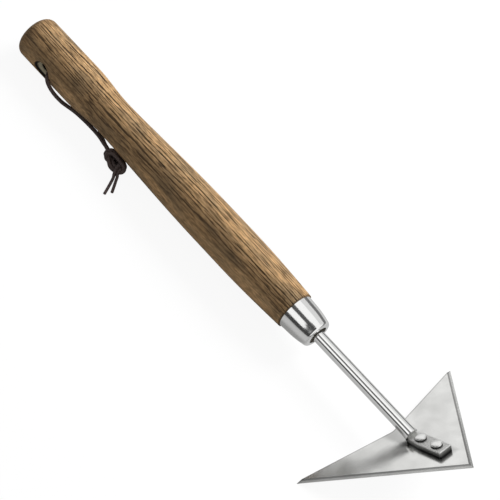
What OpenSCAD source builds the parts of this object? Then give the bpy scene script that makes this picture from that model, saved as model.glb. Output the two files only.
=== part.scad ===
// Short-handled arrowhead hoe, lying on its two wing tips and the edge of its butt.
// Handle runs along X, blade at +X, floor at z = 0. Millimetres.

/* [Handle] */
// Length of the turned wood from the butt to the shoulder at the ferrule
handle_l = 281.3; // [250:0.1:330]
// Diameter of the straight stretch at the butt
butt_d = 33; // [30:0.5:37]
// Length of the straight stretch, from the butt's end
butt_l = 53.8; // [48:0.2:66]
// Radius of the rounded edge of the butt
butt_edge = 5.5; // [3:0.5:7]
// Diameter at the waist
waist_d = 28.6; // [26:0.2:31]
// Distance of the waist from the butt's end
waist_at = 89.8; // [82:0.2:102]
// Diameter at the belly
belly_d = 33.7; // [31:0.1:37]
// Where the belly reaches its full size, from the butt's end
belly_at = 196.8; // [177:0.2:212]
// Length of the full-size belly
belly_l = 24; // [10:1:28]
// Diameter of the wood at the shoulder
shoulder_d = 29.4; // [29:0.1:32]

/* [Hanging hole] */
// Distance of the hole from the butt's end
hole_at = 28.5; // [26:0.5:32]
// Diameter of the hole, across the handle
hole_d = 8; // [7:0.5:9]
// Diameter of the countersunk mouth on the near side
hole_mouth_d = 17; // [14:0.5:18]
// Diameter of the countersunk mouth on the far side
hole_far_mouth_d = 12; // [11:0.5:13]
// How far the hole is turned down on the near side, in degrees
hole_turn = 6; // [0:1:10]

/* [Ferrule] */
// Length of the ferrule
ferrule_l = 23.5; // [20:0.5:30]
// Outside diameter at the mouth, against the wood
ferrule_mouth_d = 27.6; // [26:0.1:28.5]
// Outside diameter at the nose, before its edge is rounded
ferrule_nose_d = 22.2; // [20:0.1:25]
// Thickness of the spun sheet
ferrule_wall = 0.8; // [0.6:0.1:1.2]
// Radius of the rounded edge at the nose
ferrule_edge = 2.5; // [2:0.1:3]
// Diameter of the hole in the nose
ferrule_hole_d = 14.6; // [12:0.1:15]
// Gap left round the wood inside the ferrule
ferrule_fit = 0.05; // [0.02:0.01:0.1]

/* [Shank] */
// Diameter of the rod
rod_d = 9; // [8:0.5:10]
// Length of rod seen between the ferrule and the bend
neck_l = 95.5; // [80:0.5:120]
// Length of rod hidden in the wood
rod_seat = 75; // [60:1:90]
// Gap left round the rod in its bore
rod_fit = 0.05; // [0.02:0.01:0.1]
// Angle between the rod and the blade
bend_angle = 35.7; // [30:0.1:42]
// Depth of the flat filed across the outside of the bend
heel_flat = 0.4; // [0.2:0.1:0.6]
// Thickness of the forged tang
tang_t = 4.4; // [3.8:0.1:5]
// Width of the forged tang
tang_w = 11.4; // [10.4:0.2:13]
// Length of the tang, from the bend to its end
tang_l = 28.2; // [27:0.1:34]
// Distance of the step at the rod's end behind the bend
step_back = 1.3; // [0.5:0.1:2]
// Chamfer on the tang's upper edges and corners
tang_chamfer = 0.5; // [0.3:0.1:0.8]

/* [Blade] */
// Width across the wing tips
blade_w = 150; // [130:1:170]
// Length along the middle, from the tip to the notch
blade_l = 72; // [65:0.5:80]
// How far the wing tips trail behind the notch
wing_sweep = 16.3; // [10:0.1:24]
// Distance of the tip ahead of the bend
tip_ahead = 51.5; // [46:0.5:58]
// Thickness of the plate
blade_t = 1.6; // [1.4:0.1:2.4]
// Width of the ground bevel along the two front edges
bevel_w = 2.6; // [1.5:0.1:5]
// Thickness left at the cutting edge
edge_t = 0.3; // [0.2:0.05:0.5]
// Radius in the corner of the notch
notch_r = 8; // [4:0.5:16]

/* [Rivets] */
// Diameter of the rivets
rivet_d = 5; // [4:0.5:6]
// Gap left round each rivet in its hole
rivet_fit = 0.05; // [0.02:0.01:0.1]
// Distance of the rear rivet ahead of the bend
rivet_at = 6; // [5.5:0.1:7]
// Distance between the two rivets
rivet_pitch = 14.2; // [12:0.1:16]
// Diameter of the heads
rivet_head_d = 8.2; // [7.5:0.1:9]
// Height of the heads
rivet_head_h = 2.5; // [1.8:0.1:3]
// Radius of the heads' shallow crown
rivet_crown = 12; // [9:0.5:16]
// Radius of the rounded rim of the heads
rivet_rim = 1; // [0.6:0.1:1.2]
// Depth of the flush tail, countersunk in the underside of the blade
rivet_tail_h = 1; // [0.6:0.1:1.2]

/* [Lanyard] */
// Diameter of the leather lace
lace_d = 2.9; // [2.2:0.1:3.1]
// Diameter of its cut tails, past the knot
tail_d = 2.2; // [1.8:0.1:2.6]
// Length of the knot
knot_l = 17.9; // [15:0.1:20]
// Diameter of the knot at its middle
knot_d = 11; // [10:0.1:11]

/* [Hidden] */
$fn = 96;

wood = [0.52, 0.38, 0.24];
polished_steel = [0.84, 0.85, 0.86];
brushed_steel = [0.74, 0.75, 0.76];
leather = [0.17, 0.13, 0.11];

// How far cutting shapes reach past what they cut
over = 2;

// Handle
butt_r = butt_d / 2;
waist_r = waist_d / 2;
belly_r = belly_d / 2;
shoulder_r = shoulder_d / 2;
belly_end = belly_at + belly_l;
// How early the swell from waist to belly rises: 1 is even
swell_power = 0.8;
turning_steps = 64;
edge_step = 10;

// Ferrule: a straight taper, rounded into its flat nose
ferrule_taper = atan((ferrule_mouth_d - ferrule_nose_d) / 2 / ferrule_l);
ferrule_edge_x = ferrule_l - ferrule_edge;
ferrule_edge_y = ferrule_r(ferrule_edge_x) - ferrule_edge / cos(ferrule_taper);
// Wood stops this far short of the ferrule's rounded nose
nose_gap = 1;
nose_l = ferrule_edge_x - nose_gap;
nose_inset = (ferrule_wall + ferrule_fit) / cos(ferrule_taper);

// Shank
rod_r = rod_d / 2;
rod_start = handle_l + nose_l - rod_seat;
bore_end_gap = 3;
bend_x = handle_l + ferrule_l + neck_l;
tang_root_w = rod_d - 0.4;
tang_tail_w = 5.2;
tang_tail_x = -4;
tang_shoulder_x = 7.5;
// Where the rod's underside meets the level of the tang's underside
heel_s = (tang_t / 2 - rod_r * cos(bend_angle)) / sin(bend_angle);
heel_x = heel_s * cos(bend_angle) - rod_r * sin(bend_angle);

// Blade, in the bend's own frame: x towards the tip, z square to the tang
blade_top = -tang_t / 2;
blade_bottom = blade_top - blade_t;
notch_x = tip_ahead - blade_l;
wing_x = notch_x - wing_sweep;
front_edge_angle = atan2(blade_w / 2, wing_x - tip_ahead);
front_edge_l = norm([wing_x - tip_ahead, blade_w / 2]);
bevel_slope = (blade_t - edge_t) / bevel_w;
notch_half_angle = atan2(blade_w / 2, wing_sweep);
notch_arc = 90 - notch_half_angle;
notch_steps = 6;

// Rivets
rivet_rim_x = rivet_head_d / 2 - rivet_rim;
// Where the rounded rim runs into the crown
rivet_rim_angle = acos(rivet_rim_x / (rivet_crown - rivet_rim));
rivet_rim_z = rivet_head_h - rivet_crown + (rivet_crown - rivet_rim) * sin(rivet_rim_angle);
rivet_steps = 8;
rivet_tail_d = rivet_d + 2 * rivet_tail_h;

// Resting tilt: the floor touches the wing tips and the rounded edge of the butt
wing_floor = bend_point(wing_x, blade_bottom);
butt_floor = [butt_edge, butt_edge - butt_r];
reach = butt_floor - wing_floor;
rest_tilt = 180 - asin(butt_edge / norm(reach)) - atan2(reach[1], reach[0]);
floor_z = tilted(wing_floor)[1];
tip_end = tilted(bend_point(tip_ahead, blade_bottom))[0];
butt_end = tilted([butt_edge, butt_r - butt_edge])[0] - butt_edge;
middle_x = (tip_end + butt_end) / 2;

// Lanyard: places on the floor, in the lying frame, with x from the hole.
// Both halves start in the middle of the hole.
hole_x = tilted([hole_at, 0])[0] - middle_x;
knot_in = [hole_x + 76.65, -12.7, knot_d / 2];
knot_turn = -23.4;
knot_along = [cos(knot_turn), sin(knot_turn), 0];
knot_across = [-sin(knot_turn), cos(knot_turn), 0];
knot_out = knot_in + knot_l * knot_along;
knot_end_d = 7.6;
knot_turns = 3;
knot_turn_h = 0.4;
knot_steps = 24;
// The near strand enters the knot above the far one, and the tails leave it side by side
near_entry = knot_in - 1.9 * knot_across + [0, 0, 1.2];
far_entry = knot_in - 0.9 * knot_across - [0, 0, 1.7];
near_exit = knot_out - 2.6 * knot_across - [0, 0, 0.7];
far_exit = knot_out - 0.1 * knot_across - [0, 0, 0.7];
straight = [2.3 * knot_along[0], 2.3 * knot_along[1], 0.1];
tail_straight = [0.8 * knot_along[0], 0.8 * knot_along[1], -0.1];
lace_sides = 8;
near_route = concat(from_hole([
  [0, 0, 17], [1.2, -6, 16.3], [3.1, -11.4, 15.7], [5.8, -15.2, 15.4], [8.9, -17.8, 14.9],
  [12.1, -18.6, 13.5], [15, -18.1, 11.1], [17.7, -16.7, 8], [20.4, -14.8, 4.9],
  [23.4, -13.2, 2.8], [26.8, -11.8, 1.9], [33.4, -9.9, 1.5], [40.6, -8.9, 1.45],
  [51.1, -8.4, 1.6], [56.7, -8.9, 2.4], [62.2, -10.2, 3.9], [68.2, -12, 5.3]
]), [near_entry - straight, near_entry]);
far_route = concat(from_hole([
  [0, 0, 17], [0, 6, 17.6], [0.4, 11, 18.2], [2.2, 15.4, 18.2], [5.2, 18, 17],
  [9.2, 18.7, 15], [14.2, 19.2, 12], [19.7, 19, 8.8], [25.4, 18.2, 5.6],
  [30.4, 16.9, 3.2], [35.2, 15, 1.9], [41.2, 11.2, 1.5], [46.4, 5.6, 1.48],
  [50.8, 0, 1.48], [55.1, -4.2, 1.48], [60, -6.7, 1.5], [65.1, -8.7, 1.6], [69.8, -10.5, 2.1]
]), [far_entry - straight, far_entry]);
near_tail_route = concat(
  [near_exit, near_exit + tail_straight],
  from_hole([[93.97, -24.7, 4.3], [95.28, -27.2, 3.3], [96.74, -30.4, 2.1], [98.22, -33.6, 1.4], [99.7, -36.8, 1.2]])
);
far_tail_route = concat(
  [far_exit, far_exit + tail_straight],
  from_hole([[95.1, -22, 4.3], [96.4, -23.9, 3.3], [98.1, -26.3, 2.1], [99.9, -28.9, 1.4], [101.7, -31.6, 1.2]])
);

function ease(t) = (1 - cos(180 * t)) / 2;
function unit(v) = v / norm(v);

// Radius of the turned wood at a distance from the butt's end, past its rounded edge
function handle_r(x) =
  x < butt_l ? butt_r
  : x < waist_at ? waist_r + (butt_r - waist_r) * ease((waist_at - x) / (waist_at - butt_l))
  : x < belly_at ? waist_r + (belly_r - waist_r) * ease(pow((x - waist_at) / (belly_at - waist_at), swell_power))
  : x < belly_end ? belly_r
  : shoulder_r + (belly_r - shoulder_r) * cos(90 * (x - belly_end) / (handle_l - belly_end));

// Outside radius of the ferrule's taper at a distance from its mouth
function ferrule_r(x) = (ferrule_mouth_d + (ferrule_nose_d - ferrule_mouth_d) * x / ferrule_l) / 2;

// Points of the ferrule's rounded nose, from the taper to the flat
function ferrule_arc(r) = [
  for (i = [0:8]) let(a = (90 - ferrule_taper) * (1 - i / 8))
    [ferrule_edge_x + r * cos(a), ferrule_edge_y + r * sin(a)]
];

// A point of the bend's frame in the handle's frame, both as [x, z]
function bend_point(x, z) = [
  bend_x + x * cos(bend_angle) - z * sin(bend_angle),
  x * sin(bend_angle) + z * cos(bend_angle)
];

// A point [x, z] of the handle's frame, turned by the resting tilt
function tilted(p) = [
  p[0] * cos(rest_tilt) - p[1] * sin(rest_tilt),
  p[0] * sin(rest_tilt) + p[1] * cos(rest_tilt)
];

// Points of the lanyard, moved along X to where the hole is
function from_hole(points) = [for (p = points) p + [hole_x, 0, 0]];

// One ring of a tube round point i of a route
function along(route, i) = unit(route[min(i + 1, len(route) - 1)] - route[max(i - 1, 0)]);
function ring(route, i, d) =
  let(
    t = along(route, i),
    across = unit(cross(t, [0, 0, 1])),
    up = cross(across, t)
  ) [
    for (k = [0:lace_sides - 1]) let(a = 360 * (k + 0.5) / lace_sides)
      route[i] + d / 2 * (cos(a) * across + sin(a) * up)
  ];

// Put a piece of the handle's frame in the lying frame
module lying() {
  translate([-middle_x, 0, -floor_z]) rotate([0, -rest_tilt, 0]) children();
}

// Put a piece of the bend's frame in the lying frame
module at_bend() {
  lying() translate([bend_x, 0, 0]) rotate([0, -bend_angle, 0]) children();
}

// Turn an outline of [distance along the handle, radius] points round the handle's axis
module turned(outline) {
  rotate([0, 90, 0]) rotate_extrude() polygon([for (p = outline) [p[1], p[0]]]);
}

// A leather tube along a route
module lace(route, d) {
  last = len(route) - 1;
  polyhedron(
    points = [for (i = [0:last]) each ring(route, i, d)],
    faces = concat(
      [[for (k = [0:lace_sides - 1]) k]],
      [[for (k = [lace_sides - 1:-1:0]) last * lace_sides + k]],
      [
        for (i = [0:last - 1], k = [0:lace_sides - 1]) let(
          a = i * lace_sides + k,
          b = i * lace_sides + (k + 1) % lace_sides
        ) each [[a, a + lace_sides, b], [b, a + lace_sides, b + lace_sides]]
      ]
    )
  );
}

module hanging_hole() {
  translate([hole_at, 0, 0]) rotate([hole_turn, 0, 0]) {
    rotate([90, 0, 0]) cylinder(d = hole_d, h = butt_d + 2 * over, center = true);
    for (mouth = [[-1, hole_mouth_d], [1, hole_far_mouth_d]])
      translate([0, mouth[0] * (butt_r + over), 0]) rotate([mouth[0] * 90, 0, 0])
        cylinder(d1 = mouth[1] + 2 * over, d2 = hole_d, h = (mouth[1] - hole_d) / 2 + over);
  }
}

module handle() {
  butt = [
    for (a = [180:-edge_step:90])
      [butt_edge + butt_edge * cos(a), butt_r - butt_edge + butt_edge * sin(a)]
  ];
  grip = [
    for (i = [0:turning_steps]) let(x = butt_l + (handle_l - butt_l) * i / turning_steps)
      [x, handle_r(x)]
  ];
  nose = [
    [handle_l, ferrule_r(0) - nose_inset],
    [handle_l + nose_l, ferrule_r(nose_l) - nose_inset],
    [handle_l + nose_l, 0]
  ];
  color(wood) lying() difference() {
    turned(concat([[0, 0]], butt, grip, nose));
    translate([rod_start - bore_end_gap, 0, 0]) rotate([0, 90, 0])
      cylinder(r = rod_r + rod_fit, h = rod_seat + bore_end_gap + over);
    hanging_hole();
  }
}

module ferrule() {
  inner = [for (i = [8:-1:0]) ferrule_arc(ferrule_edge - ferrule_wall)[i]];
  outline = concat(
    [[0, ferrule_r(0)]],
    ferrule_arc(ferrule_edge),
    [[ferrule_l, ferrule_hole_d / 2], [ferrule_l - ferrule_wall, ferrule_hole_d / 2]],
    inner,
    [[0, ferrule_r(0) - ferrule_wall / cos(ferrule_taper)]]
  );
  color(polished_steel) lying() translate([handle_l, 0, 0]) turned(outline);
}

// Everything past one top edge of the tang's outline, with the tang on the left of the edge
module edge_chamfer(from, to) {
  edge = to - from;
  top = tang_t / 2;
  translate(from) rotate([0, 0, atan2(edge[1], edge[0])]) translate([-over, 0, 0]) rotate([90, 0, 90])
    linear_extrude(height = norm(edge) + 2 * over)
      polygon([[-over, top - tang_chamfer - over], [-over, top + over], [tang_chamfer + over, top + over]]);
}

module tang() {
  half = [
    [tang_tail_x, tang_tail_w / 2],
    [-step_back, tang_root_w / 2],
    [tang_shoulder_x, tang_w / 2],
    [tang_l - tang_chamfer, tang_w / 2],
    [tang_l, tang_w / 2 - tang_chamfer]
  ];
  other = [for (i = [len(half) - 1:-1:0]) [half[i][0], -half[i][1]]];
  difference() {
    translate([0, 0, -tang_t / 2]) linear_extrude(height = tang_t) polygon(concat(half, other));
    edge_chamfer(other[0], half[4]);
    for (side = [0, 1]) mirror([0, side, 0]) {
      edge_chamfer(half[4], half[3]);
      edge_chamfer(half[3], half[2]);
      edge_chamfer(half[2], half[1]);
    }
  }
}

// The round rod, ended at the step above the tang and level with the tang's underside
module rod() {
  room = tang_l + rod_d;
  difference() {
    lying() translate([rod_start, 0, 0]) rotate([0, 90, 0])
      cylinder(r = rod_r, h = bend_x + rod_r - rod_start);
    at_bend() translate([-step_back, -room / 2, -room / 2]) cube(room);
    at_bend() translate([-room / 2, -room / 2, -tang_t / 2 - room]) cube(room);
  }
}

// Everything below the flat filed across the outside of the bend
module heel_cut() {
  room = tang_l + rod_d;
  translate([heel_x, 0, -tang_t / 2]) rotate([0, bend_angle / 2, 0])
    translate([-room / 2, -room / 2, heel_flat - room]) cube(room);
}

module shank() {
  color(polished_steel) difference() {
    union() {
      rod();
      at_bend() tang();
    }
    at_bend() heel_cut();
    at_bend() rivet_holes();
  }
}

module rivet_holes() {
  for (i = [0, 1])
    translate([rivet_at + i * rivet_pitch, 0, blade_bottom]) {
      translate([0, 0, -over]) cylinder(d = rivet_d + 2 * rivet_fit, h = tang_t + blade_t + 2 * over);
      translate([0, 0, -over])
        cylinder(
          d1 = rivet_tail_d + 2 * rivet_fit + 2 * over,
          d2 = rivet_d + 2 * rivet_fit,
          h = rivet_tail_h + over
        );
    }
}

// Everything above the ground bevel of one front edge
module bevel_cut() {
  low = edge_t - bevel_slope * over;
  high = blade_t + bevel_slope * over;
  translate([tip_ahead, 0, blade_bottom]) rotate([0, 0, front_edge_angle])
    translate([-over, 0, 0]) rotate([90, 0, 90])
      linear_extrude(height = front_edge_l + 2 * over)
        polygon([[-over, low], [bevel_w + over, high], [-over, high]]);
}

module blade() {
  wing = [wing_x, blade_w / 2];
  notch_centre = notch_x - notch_r / sin(notch_half_angle);
  notch = [
    for (i = [0:notch_steps]) let(a = notch_arc * (1 - 2 * i / notch_steps))
      [notch_centre + notch_r * cos(a), notch_r * sin(a)]
  ];
  color(brushed_steel) at_bend() difference() {
    translate([0, 0, blade_bottom]) linear_extrude(height = blade_t)
      polygon(concat([[tip_ahead, 0], wing], notch, [[wing[0], -wing[1]]]));
    bevel_cut();
    mirror([0, 1, 0]) bevel_cut();
    rivet_holes();
  }
}

// A low crowned button with an upright side and a rounded rim
module rivet_head() {
  rim = [
    for (i = [0:rivet_steps]) let(a = rivet_rim_angle * i / rivet_steps)
      [rivet_rim_x + rivet_rim * cos(a), rivet_rim_z + rivet_rim * sin(a)]
  ];
  crown = [
    for (i = [1:rivet_steps - 1]) let(a = rivet_rim_angle + (90 - rivet_rim_angle) * i / rivet_steps)
      [rivet_crown * cos(a), rivet_head_h - rivet_crown + rivet_crown * sin(a)]
  ];
  rotate_extrude() polygon(concat([[0, 0], [rivet_head_d / 2, 0]], rim, crown, [[0, rivet_head_h]]));
}

module rivet(x) {
  color(brushed_steel) at_bend() translate([x, 0, 0]) {
    translate([0, 0, tang_t / 2]) rivet_head();
    translate([0, 0, blade_bottom]) cylinder(d = rivet_d, h = tang_t + blade_t);
    translate([0, 0, blade_bottom]) cylinder(d1 = rivet_tail_d, d2 = rivet_d, h = rivet_tail_h);
  }
}

module rear_rivet() {
  rivet(rivet_at);
}

module front_rivet() {
  rivet(rivet_at + rivet_pitch);
}

module lanyard_near_strand() {
  color(leather) lace(near_route, lace_d);
}

module lanyard_far_strand() {
  color(leather) lace(far_route, lace_d);
}

// The knot: a barrel with the ridges of its turns, and flat ends that the strands meet
module lanyard_knot() {
  barrel = [
    for (i = [0:knot_steps]) let(t = i / knot_steps)
      [
        t * knot_l,
        knot_end_d / 2 + (knot_d - knot_end_d) / 2 * sin(180 * t) - knot_turn_h * (1 - cos(360 * knot_turns * t)) / 2 * sin(180 * t)
      ]
  ];
  color(leather) translate(knot_in) rotate([0, 0, knot_turn])
    turned(concat([[0, 0]], barrel, [[knot_l, 0]]));
}

module lanyard_near_tail() {
  color(leather) lace(near_tail_route, tail_d);
}

module lanyard_far_tail() {
  color(leather) lace(far_tail_route, tail_d);
}

handle();
ferrule();
shank();
blade();
rear_rivet();
front_rivet();
lanyard_near_strand();
lanyard_far_strand();
lanyard_knot();
lanyard_near_tail();
lanyard_far_tail();
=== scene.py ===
import bmesh
import bpy
import math
from mathutils import Matrix, Vector


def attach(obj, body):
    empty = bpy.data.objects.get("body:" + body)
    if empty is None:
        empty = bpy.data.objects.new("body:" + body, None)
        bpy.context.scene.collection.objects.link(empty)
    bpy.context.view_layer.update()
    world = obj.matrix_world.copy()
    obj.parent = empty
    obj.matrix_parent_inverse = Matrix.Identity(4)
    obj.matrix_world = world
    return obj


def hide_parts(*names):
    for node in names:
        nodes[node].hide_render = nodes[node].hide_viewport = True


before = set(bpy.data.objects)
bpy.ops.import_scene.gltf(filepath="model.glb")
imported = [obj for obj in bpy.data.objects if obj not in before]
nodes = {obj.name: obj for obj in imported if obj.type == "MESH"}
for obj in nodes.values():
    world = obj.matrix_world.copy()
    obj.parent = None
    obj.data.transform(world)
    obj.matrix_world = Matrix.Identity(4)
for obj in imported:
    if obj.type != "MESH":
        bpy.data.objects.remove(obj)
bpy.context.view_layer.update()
scene = bpy.context.scene
scene.view_settings.view_transform = "Standard"
print("frame loaded:", len(nodes), "nodes")

millimetre = 0.001
# A Mix node's colour sockets, by number because other sockets share their names
colourA, colourB, colourOut = 6, 7, 2

# The handle's own frame: x along its axis from the butt, laid on the floor with a slight rise
handlePlace = Vector((-0.221699, 0, 0.0163766))
handleTilt = math.radians(1.257494)
handleFrame = Matrix.Translation(handlePlace) @ Matrix.Rotation(-handleTilt, 4, "Y")


def linear(hexColour):
    channels = [int(hexColour[i:i + 2], 16) / 255 for i in (1, 3, 5)]
    return (*(c / 12.92 if c <= 0.04045 else ((c + 0.055) / 1.055) ** 2.4 for c in channels), 1)


def addNode(tree, kind, inputs=None, **settings):
    node = tree.nodes.new(kind)
    for name, value in settings.items():
        setattr(node, name, value)
    for socket, value in (inputs or {}).items():
        if isinstance(value, bpy.types.NodeSocket):
            tree.links.new(value, node.inputs[socket])
        else:
            node.inputs[socket].default_value = value
    return node


def newMaterial(name):
    material = bpy.data.materials.new(name)
    material.use_nodes = True
    tree = material.node_tree
    return material, tree, tree.nodes["Principled BSDF"]


def addMesh(name, bm, sharp=35):
    mesh = bpy.data.meshes.new(name)
    bm.to_mesh(mesh)
    bm.free()
    for polygon in mesh.polygons:
        polygon.use_smooth = True
    mesh.set_sharp_from_angle(angle=math.radians(sharp))
    obj = bpy.data.objects.new(name, mesh)
    scene.collection.objects.link(obj)
    return obj


# Camera: long lens, above the blade's near wing
camera = {
    "place": (0.386809, -0.723305, 1.149149),
    "aim": (-0.27300365, 0.52304616, -0.80739811),
    "up": (-0.70837917, 0.45855853, 0.53658459),
    "lens": 146.947,
    "sensor": 36,
    "clip": (0.05, 30),
}


def addCamera():
    data = bpy.data.cameras.new("camera")
    data.lens = camera["lens"]
    data.sensor_width = camera["sensor"]
    data.clip_start, data.clip_end = camera["clip"]
    obj = bpy.data.objects.new("camera", data)
    scene.collection.objects.link(obj)
    back = -Vector(camera["aim"]).normalized()
    right = Vector(camera["up"]).cross(back).normalized()
    up = back.cross(right)
    turn = Matrix((right, up, back)).transposed()
    obj.matrix_world = Matrix.Translation(camera["place"]) @ turn.to_4x4()
    scene.camera = obj


addCamera()
print("camera placed")

# Leather lace: both halves start in the middle of the hanging hole and end in the knot, x from the hole
lanyard = {
    "diameter": 0.0029,
    "tailDiameter": 0.0022,
    "holeX": -0.193206,
    "near": [
        (0, 0, 0.017), (0.0012, -0.006, 0.0163), (0.0031, -0.0114, 0.0157), (0.0058, -0.0152, 0.0154),
        (0.0089, -0.0178, 0.0149), (0.0121, -0.0186, 0.0135), (0.015, -0.0181, 0.0111),
        (0.0177, -0.0167, 0.008), (0.0204, -0.0148, 0.0049), (0.0234, -0.0132, 0.0028),
        (0.0268, -0.0118, 0.0019), (0.0334, -0.0099, 0.0015), (0.0406, -0.0089, 0.00145),
        (0.0511, -0.0084, 0.0016), (0.0567, -0.0089, 0.0024), (0.0622, -0.0102, 0.0039),
        (0.0682, -0.012, 0.0053),
    ],
    "far": [
        (0, 0, 0.017), (0, 0.006, 0.0176), (0.0004, 0.011, 0.0182), (0.0022, 0.0154, 0.0182),
        (0.0052, 0.018, 0.017), (0.0092, 0.0187, 0.015), (0.0142, 0.0192, 0.012), (0.0197, 0.019, 0.0088),
        (0.0254, 0.0182, 0.0056), (0.0304, 0.0169, 0.0032), (0.0352, 0.015, 0.0019),
        (0.0412, 0.0112, 0.0015), (0.0464, 0.0056, 0.00148), (0.0508, 0, 0.00148),
        (0.0551, -0.0042, 0.00148), (0.06, -0.0067, 0.0015), (0.0651, -0.0087, 0.0016),
        (0.0698, -0.0105, 0.0021),
    ],
    "nearTail": [
        (0.09397, -0.0247, 0.0043), (0.09528, -0.0272, 0.0033), (0.09674, -0.0304, 0.0021),
        (0.09822, -0.0336, 0.0014), (0.0997, -0.0368, 0.0012),
    ],
    "farTail": [
        (0.0951, -0.022, 0.0043), (0.0964, -0.0239, 0.0033), (0.0981, -0.0263, 0.0021),
        (0.0999, -0.0289, 0.0014), (0.1017, -0.0316, 0.0012),
    ],
    "knotIn": (0.07665, -0.0127, 0.0055),
    "knotTurn": -23.4,
    "knotLead": (0.0023, 0, 0.0001),
    "nearEntry": (0, -0.0019, 0.0012),
    "farEntry": (0, -0.0009, -0.0017),
    "nearExit": (0.0179, -0.0026, -0.0007),
    "farExit": (0.0179, -0.0001, -0.0007),
    # Overhand knot of the doubled lace, in mm from where it enters:
    # the middle of the pair, then the way its outside faces
    "knotPath": [
        ((0, -1.4, -0.25), (0, -0.94, -0.33)),
        ((3.2, -1.6, -0.7), (0, -0.5, -0.86)),
        ((7.5, -2.1, -0.9), (0, -0.25, -1)),
        ((11.3, -1.9, -1.2), (0, -0.1, -1)),
        ((14.4, 0.6, -1.6), (0.3, 0.2, -0.9)),
        ((16.4, 3.8, -0.8), (0.5, 0.9, -0.1)),
        ((15.2, 5.3, 1.4), (0.2, 0.9, 0.4)),
        ((11.5, 4.1, 2.8), (0, 0.6, 0.8)),
        ((7.5, 2.8, 3.1), (0, 0.55, 0.83)),
        ((4, 1.1, 3.4), (-0.1, 0.3, 0.95)),
        ((1.7, -1.3, 3), (-0.3, -0.3, 0.9)),
        ((1.3, -3.5, 0.8), (-0.3, -0.95, 0.2)),
        ((1.9, -3.7, -1.8), (-0.1, -0.9, -0.4)),
        ((3.4, -1.2, -3.75), (0, -0.1, -1)),
        ((5.4, 2.6, -3.7), (0, 0.3, -0.95)),
        ((7.6, 5.5, -3), (0, 0.75, -0.65)),
        ((10.2, 6.4, -1.2), (0.1, 1, -0.1)),
        ((12.6, 4.8, 0.2), (0.3, 0.8, 0.4)),
        ((14.8, 1.4, 0.2), (0, 0.2, 0.95)),
    ],
    "knotSize": 1.08,
    "pairOffset": 1.45,
    "tailStart": 0.9,
    "roundSteps": 6,
    "alongSteps": 8,
}
holePlace = Vector((lanyard["holeX"], 0, 0))
knotTurn = Matrix.Rotation(math.radians(lanyard["knotTurn"]), 4, "Z")
knotFrame = Matrix.Translation(holePlace + Vector(lanyard["knotIn"])) @ knotTurn


def addLace(name, routes, diameter):
    data = bpy.data.curves.new(name, "CURVE")
    data.dimensions = "3D"
    data.bevel_depth = 1  # each point gives its own radius in metres
    data.bevel_resolution = lanyard["roundSteps"]
    data.resolution_u = lanyard["alongSteps"]
    data.use_fill_caps = True
    for route in routes:
        spline = data.splines.new("BEZIER")
        spline.bezier_points.add(len(route) - 1)
        for point, (place, size) in zip(spline.bezier_points, route):
            point.co = place
            point.radius = size * diameter / 2
            point.handle_left_type = point.handle_right_type = "AUTO"
    obj = bpy.data.objects.new(name, data)
    scene.collection.objects.link(obj)
    return obj


def knotRoute(side):
    path = [(Vector(p), Vector(n)) for p, n in lanyard["knotPath"]]
    route = []
    for i, (place, outside) in enumerate(path):
        ahead = path[min(i + 1, len(path) - 1)][0] - path[max(i - 1, 0)][0]
        across = ahead.cross(outside).normalized()
        route.append(knotFrame @ ((place + side * lanyard["pairOffset"] * across) * millimetre))
    return route


def addLanyard():
    lead = knotTurn @ Vector(lanyard["knotLead"])
    thin = lanyard["tailDiameter"] / lanyard["diameter"]
    strands = []
    for name in ("near", "far"):
        entry = knotFrame @ Vector(lanyard[name + "Entry"])
        route = [holePlace + Vector(p) for p in lanyard[name]] + [entry - lead, entry]
        strand = [(p, 1) for p in route]
        strands.append(addLace("lanyard" + name.capitalize(), [strand], lanyard["diameter"]))
    turns = []
    for name, side in (("near", 1), ("far", -1)):
        leave = knotFrame @ Vector(lanyard[name + "Exit"])
        tail = [leave] + [holePlace + Vector(p) for p in lanyard[name + "Tail"]]
        sizes = [lanyard["tailStart"]] + [thin] * (len(tail) - 1)
        turns.append([(p, lanyard["knotSize"]) for p in knotRoute(side)] + list(zip(tail, sizes)))
    return strands[0], strands[1], addLace("lanyardKnot", turns, lanyard["diameter"])


nearStrand, farStrand, knot = addLanyard()
bpy.context.view_layer.update()
for piece in (nearStrand, farStrand, knot):
    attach(piece, "root")
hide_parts("lanyard_near_strand")
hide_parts("lanyard_far_strand")
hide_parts("lanyard_knot", "lanyard_near_tail", "lanyard_far_tail")
print("lanyard laid")

# Spun ferrule: a thin tapered cup, slightly crowned, with a rounded nose
ferrule = {
    "start": 0.2813,
    "length": 0.0235,
    "mouthRadius": 0.0138,
    "noseRadius": 0.0111,
    "wall": 0.0008,
    "edge": 0.0025,
    "rim": 0.00015,
    "holeRadius": 0.0073,
    "crown": 0.00055,
    "crownLean": 1.4,  # above 1 the crown is fullest past the middle
    "crownSteps": 12,
    "edgeSteps": 14,
    "roundSteps": 160,
}


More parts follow.
